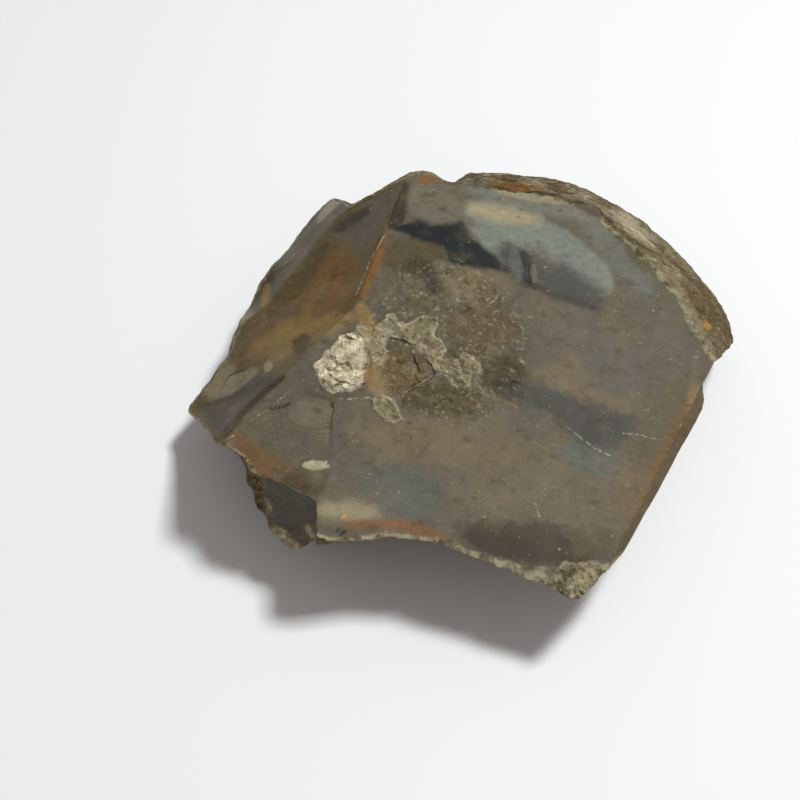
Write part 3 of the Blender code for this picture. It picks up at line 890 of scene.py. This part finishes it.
def cloud(tree, place, size, detail=2.0, roughness=0.55):
    """Soft noise from about -1 to 1, with lumps of a size in mm."""
    inputs = {"Vector": place, "Scale": 1.0 / size, "Detail": detail, "Roughness": roughness}
    fac = node(tree, "TexNoise", inputs).outputs[0]
    return node(tree, "MapRange", {"Value": fac, "From Min": 0.25, "From Max": 0.75, "To Min": -1.0}).outputs[0]


def stretched(tree, place, turn_about, stretch):
    """Places turned about each axis in degrees, then stretched along each axis."""
    turns = tuple(math.radians(angle) for angle in turn_about)
    return node(tree, "Mapping", {"Vector": place, "Rotation": turns, "Scale": stretch}).outputs[0]


def dots(tree, place, spacing, size, rarity):
    """Spots, some bright (1) and some faint, with 0 between: one in some of the cells of a spacing in mm."""
    cells = node(tree, "TexVoronoi", {"Vector": place, "Scale": 1.0 / spacing})
    spot = between(tree, cells.outputs["Distance"], size / spacing, 0.3 * size / spacing)
    chance = node(tree, "SeparateColor", {0: cells.outputs["Color"]}).outputs
    chosen = sums(tree, "MULTIPLY", sums(tree, "GREATER_THAN", chance[0], rarity), chance[1])
    return sums(tree, "MULTIPLY", spot, chosen)


def read(tree, name):
    """A number stored on the mesh."""
    return node(tree, "Attribute", {}, attribute_name=name).outputs["Fac"]


def surface_shares(tree, fray):
    """For each surface, 1 on it and 0 off it; and the same for the rim's surfaces together."""
    shares = {}
    for row, name in SURFACE_NAMES.items():
        off = sums(tree, "MULTIPLY_ADD", fray, 0.12, read(tree, "off_" + name))
        shares[row] = between(tree, off, 0.14, -0.1)
    shares[RIM] = sums(tree, "MAXIMUM", sums(tree, "MAXIMUM", shares[RIND], shares[SPLIT]), shares[CHIP])
    return shares


def ground_colour(tree, on):
    """Plain colour of each broken surface."""
    colour = linear(GROUNDS[0][1])
    for row, ground in GROUNDS[1:]:
        colour = blend(tree, on[row], colour, linear(ground))
    return colour


def patch_colours(tree, colour, on, drift, surfaces):
    """The patches of some surfaces laid over the ground in turn, each rough crust with a paler border,
    partly its own pale rim and partly a painted highlight on its raised edge. Also gives how much of a rough crust
    shows."""
    crust = 0.0
    for name, row, tint, strength, soft, wander, _ in PATCHES:
        if row not in surfaces:
            continue
        edge = sums(tree, "MULTIPLY_ADD", drift, 0.6 * wander, read(tree, name))
        share = sums(tree, "MULTIPLY", between(tree, edge, soft, -soft, 0.0, strength), on[row])
        colour = blend(tree, share, colour, linear(tint))
        if name in CRUSTS:
            crust = sums(tree, "MAXIMUM", crust, share)
            # partly the crust's own pale rim and partly a painted highlight along its raised edge
            border = sums(tree, "MULTIPLY", between(tree, edge, -1.0, 0.0, 0.0, 0.4), share)
            colour = blend(tree, border, colour, linear(CHALK))
    return colour, crust


def thin_lines(tree, colour, on, fray):
    """Cracks dark, hairline scratches pale, smears yellow and the small lumps pale, on the split face and
    the left scar."""
    faces = sums(tree, "MAXIMUM", on[SPLIT], on[LEFT])
    for name, tint, strength, width in (
            ("cracks", UMBER, 0.7, 0.3), ("hairlines", CHALK, 0.4, 0.2),
            ("yellow_lines", OCHRE, 0.6, 0.35), ("lumps", KHAKI, 0.4, 0.9)):
        edge = sums(tree, "MULTIPLY_ADD", fray, 0.25, read(tree, name))
        share = sums(tree, "MULTIPLY", between(tree, edge, width, 0.0, 0.0, strength), faces)
        colour = blend(tree, share, colour, linear(tint))
    return colour


def bent_places(tree, place, size, reach):
    """Places pushed about by a noise of a size in mm, up to half a reach in mm."""
    push = node(tree, "TexNoise", {"Vector": place, "Scale": 1.0 / size, "Detail": 2.0}).outputs["Color"]
    return node(tree, "VectorMath", {0: push, 1: (reach,) * 3, 2: place}, operation="MULTIPLY_ADD").outputs[0]


def lit(tree, colour, light):
    """Colour made lighter or darker by a factor."""
    return node(tree, "VectorMath", {0: colour, "Scale": light}, operation="SCALE").outputs[0]


def grain_colours(tree, colour, place, fray):
    """Mottling of the flint: soft clouds of grey and brown, fine grain, pale specks, flecks and dark dots."""
    broad = cloud(tree, bent_places(tree, place, 9.0, 8.0), 9.0, 4.0, 0.6)
    colour = blend(tree, between(tree, broad, 0.0, 0.9, 0.0, 0.35), colour, linear(TAN))
    colour = lit(tree, colour, sums(tree, "MULTIPLY_ADD", broad, 0.12, 1.0))
    haze = cloud(tree, place, 5.0, 4.0, 0.6)
    colour = blend(tree, between(tree, haze, 0.1, 1.0, 0.0, 0.35), colour, linear(HAZE))
    haze = cloud(tree, stretched(tree, place, (0, 0, 30), (1.0, 1.6, 1.0)), 3.6, 4.0, 0.6)
    colour = blend(tree, between(tree, haze, 0.1, 1.0, 0.0, 0.5), colour, linear(DARK_OLIVE))
    light = sums(tree, "MULTIPLY_ADD", cloud(tree, place, 1.5, 3.0, 0.65), 0.16, 1.0)
    colour = lit(tree, colour, sums(tree, "MULTIPLY_ADD", fray, 0.12, light))
    bent = bent_places(tree, place, 0.5, 0.5)
    for spacing, size, rarity, strength in ((0.85, 0.2, 0.8, 0.4), (2.6, 0.34, 0.9, 0.45)):
        spots = sums(tree, "MULTIPLY", dots(tree, bent, spacing, size, rarity), strength)
        colour = blend(tree, spots, colour, linear(CHALK))
    flecks = dots(tree, stretched(tree, bent, (0, 0, -60), (1.0, 2.6, 1.0)), 4.5, 0.9, 0.62)
    flecks = sums(tree, "MULTIPLY", flecks, between(tree, haze, -0.4, 0.3, 0.45, 0.0))
    colour = blend(tree, flecks, colour, linear(CREAM))
    dark = dots(tree, bent, 2.7, 0.55, 0.7)
    return blend(tree, sums(tree, "MULTIPLY", dark, 0.5), colour, linear(UMBER))


def skin_colours(tree, colour, on, drift):
    """Under the rind, a pale line where the cortex is cut through, brown on the front step."""
    depth = sums(tree, "MULTIPLY_ADD", drift, 0.35, read(tree, "cortex"))
    cut_through = between(tree, depth, 0.2, -0.2, 0.0, 0.85)
    tone = blend(tree, between(tree, drift, -0.5, 0.3), linear(OLIVE), linear(CREAM))
    tone = blend(tree, sums(tree, "MULTIPLY", on[STEP], 0.85), tone, linear(OLIVE))
    return blend(tree, cut_through, colour, tone)


def rind_colours(tree, place, fray):
    """Cortex: khaki and olive-brown, with long cream flecks and dark pits."""
    broad = cloud(tree, place, 7.0, 2.0)
    middle = cloud(tree, stretched(tree, place, (0, 0, 50), (1.0, 1.8, 1.4)), 3.0, 3.0, 0.55)
    fine = cloud(tree, place, 0.9, 3.0, 0.65)
    colour = blend(tree, between(tree, broad, -0.6, 0.6), linear(BROWN), linear(KHAKI))
    colour = blend(tree, between(tree, middle, -0.1, -0.8, 0.0, 0.75), colour, linear(DARK_OLIVE))
    pale = sums(tree, "MULTIPLY_ADD", fine, 0.25, middle)
    colour = blend(tree, between(tree, pale, 0.2, 0.65, 0.0, 0.7), colour, linear(CREAM))
    flecks = dots(tree, stretched(tree, bent_places(tree, place, 1.0, 1.0), (0, 0, 48), (1.0, 3.0, 1.5)), 3.6, 1.3, 0.45)
    colour = blend(tree, flecks, colour, linear(CHALK))
    light = sums(tree, "MULTIPLY_ADD", sums(tree, "ADD", fine, fray), 0.09, 1.0)
    pits = dots(tree, place, 2.2, 0.6, 0.5)
    return blend(tree, sums(tree, "MULTIPLY", pits, 0.8), lit(tree, colour, light), linear(UMBER)), fine


def crumbs(tree, colour, place, rough):
    """Where the stone is rough, crumbs lighter or darker than one another, with pale grit and dark pores."""
    bent = bent_places(tree, place, 0.7, 1.0)
    for spacing, strength in ((1.3, 0.6), (0.55, 0.5)):
        cells = node(tree, "TexVoronoi", {"Vector": bent, "Scale": 1.0 / spacing})
        tone = node(tree, "SeparateColor", {0: cells.outputs["Color"]}).outputs[0]
        tone = sums(tree, "MULTIPLY", sums(tree, "SUBTRACT", tone, 0.5), strength)
        colour = lit(tree, colour, sums(tree, "MULTIPLY_ADD", rough, tone, 1.0))
    for spacing, size, rarity, strength, tint in (
            (0.9, 0.4, 0.7, 0.5, CHALK), (1.2, 0.5, 0.6, 0.7, UMBER)):
        spots = sums(tree, "MULTIPLY", dots(tree, bent, spacing, size, rarity), rough)
        colour = blend(tree, sums(tree, "MULTIPLY", spots, strength), colour, linear(tint))
    return colour


def ripples(tree, place):
    """Wave from -1 to 1 round the corner scar's striking point, fading out away from it."""
    away = node(tree, "VectorMath", {0: place, 1: RIPPLE_CENTRE + (27.0,)}, operation="DISTANCE").outputs["Value"]
    bent = sums(tree, "MULTIPLY_ADD", cloud(tree, place, 4.0), 0.8, away)
    wave = sums(tree, "SINE", sums(tree, "MULTIPLY", bent, 2 * math.pi / 0.8))
    east = node(tree, "SeparateXYZ", {0: place}).outputs[0]
    band = sums(tree, "MULTIPLY", between(tree, away, 3.5, 6.0), between(tree, away, 14.0, 11.0))
    band = sums(tree, "MULTIPLY", band, between(tree, east, -40.0, -34.0))
    sector = between(tree, read(tree, "ripples"), 1.0, -1.5)
    return sums(tree, "MULTIPLY", sums(tree, "MULTIPLY", wave, band), sector)


def flint_material():
    """Flint: coloured patches on satin stone, dull crumbly crusts, and a rough chalky cortex on the rind."""
    material = bpy.data.materials.new("flint")
    material.use_nodes = True
    tree = material.node_tree
    shader = tree.nodes["Principled BSDF"]
    where = node(tree, "TexCoord", {}).outputs["Object"]
    place = node(tree, "VectorMath", {0: where, "Scale": 1 / MM}, operation="SCALE").outputs[0]
    drift = cloud(tree, place, 3.0, 4.0, 0.6)
    fray = cloud(tree, place, 0.55, 3.0, 0.6)
    on = surface_shares(tree, fray)
    colour, crust = patch_colours(tree, ground_colour(tree, on), on, drift, (SPLIT, LEFT, BEVEL))
    colour = skin_colours(tree, colour, on, drift)
    rind, fine = rind_colours(tree, place, fray)
    colour = blend(tree, on[RIND], colour, rind)
    colour, _ = patch_colours(tree, colour, on, drift, (RIM,))
    cortex_lumps = between(tree, sums(tree, "MULTIPLY_ADD", fray, 0.1, read(tree, "blobs")), 0.4, 0.6)
    east = node(tree, "SeparateXYZ", {0: place}).outputs[0]
    tone = blend(tree, between(tree, east, -38.5, -36.0), linear(OLIVE), linear(CREAM))
    colour = blend(tree, cortex_lumps, colour, tone)
    colour = grain_colours(tree, colour, place, fray)
    dull = sums(tree, "MAXIMUM", sums(tree, "MAXIMUM", crust, cortex_lumps), on[RIND])
    hackly = between(tree, read(tree, "hackly"), 2.5, -1.5)
    ragged = sums(tree, "MULTIPLY", between(tree, cloud(tree, place, 1.4, 5.0, 0.7), 0.25, 0.7), hackly)
    colour = blend(tree, sums(tree, "MULTIPLY", ragged, 0.6), colour, linear(CREAM))
    rough = sums(tree, "MAXIMUM", sums(tree, "MULTIPLY", hackly, 0.6), sums(tree, "MULTIPLY_ADD", on[RIND], -0.5, dull))
    colour = crumbs(tree, colour, place, rough)
    wave = ripples(tree, place)
    # painted shading: the ripple wave also lightens and darkens the colour in bands, standing for light and shade on
    # the ripples
    colour = lit(tree, colour, sums(tree, "MULTIPLY_ADD", wave, 0.06, 1.0))
    colour = thin_lines(tree, colour, on, fray)
    gloss = sums(tree, "MULTIPLY_ADD", hackly, 0.15, sums(tree, "MULTIPLY_ADD", drift, 0.05, 0.45))
    tree.links.new(between(tree, dull, 0.1, 0.9, gloss, 0.9), shader.inputs["Roughness"])
    smooth = sums(tree, "MULTIPLY", fray, 0.003)
    coarse = sums(tree, "MULTIPLY", sums(tree, "MULTIPLY_ADD", fine, 1.6, fray), 0.09)
    height = sums(tree, "MULTIPLY_ADD", dull, coarse, sums(tree, "MULTIPLY_ADD", wave, 0.012, smooth))
    bump = node(tree, "Bump", {"Height": height, "Distance": MM, "Strength": 1.0})
    tree.links.new(bump.outputs[0], shader.inputs["Normal"])
    tree.links.new(colour, shader.inputs["Base Color"])
    shader.inputs["Specular IOR Level"].default_value = 0.08
    return material


# ---------------------------------------------------------------- stage, lights and camera

CAMERA_AT = (-13.1, -179.8, 263.7)
CAMERA_AIM = (-13.1, -7.7, 18.0)
CAMERA_LENS = 70.0


def aim(thing, at, target):
    """Put a lamp or camera at a place in mm, with its -Z axis towards a target."""
    thing.location = Vector(at) * MM
    thing.rotation_euler = (Vector(target) - Vector(at)).to_track_quat("-Z", "Y").to_euler()
    bpy.context.scene.collection.objects.link(thing)


def make_camera():
    data = bpy.data.cameras.new("camera")
    data.lens = CAMERA_LENS
    data.clip_start = 0.005
    data.clip_end = 20.0
    camera = bpy.data.objects.new("camera", data)
    aim(camera, CAMERA_AT, CAMERA_AIM)
    bpy.context.scene.camera = camera


def area_lamp(name, azimuth, elevation, distance, size, watts, colour):
    """Square lamp that shines on the stone from a direction, in mm and degrees."""
    data = bpy.data.lights.new(name, "AREA")
    data.size = size * MM
    data.energy = watts
    data.color = colour
    lamp = bpy.data.objects.new(name, data)
    aim(lamp, facing(azimuth, elevation) * distance + np.array([0, 0, 15.0]), (0, 0, 15))


def make_stage():
    """Pale floor, one soft lamp high on the right and even light from the sky."""
    mesh = bpy.data.meshes.new("floor")
    half = 3.0
    mesh.from_pydata([(-half, -half, 0), (half, -half, 0), (half, half, 0), (-half, half, 0)], [], [(0, 1, 2, 3)])
    floor = bpy.data.objects.new("floor", mesh)
    bpy.context.scene.collection.objects.link(floor)
    material = bpy.data.materials.new("floor")
    material.use_nodes = True
    shader = material.node_tree.nodes["Principled BSDF"]
    shader.inputs["Base Color"].default_value = (0.82, 0.83, 0.84, 1)
    shader.inputs["Roughness"].default_value = 0.8
    mesh.materials.append(material)
    area_lamp("key_light", 15, 69, 800, 130, 5.7, (0.98, 1.0, 1.0))
    world = bpy.data.worlds.new("sky")
    bpy.context.scene.world = world
    world.use_nodes = True
    sky = world.node_tree.nodes["Background"]
    sky.inputs["Color"].default_value = (1.0, 0.94, 0.92, 1)
    sky.inputs["Strength"].default_value = 0.335


make_stone()
make_stage()
make_camera()
bpy.context.scene.view_settings.view_transform = "Standard"
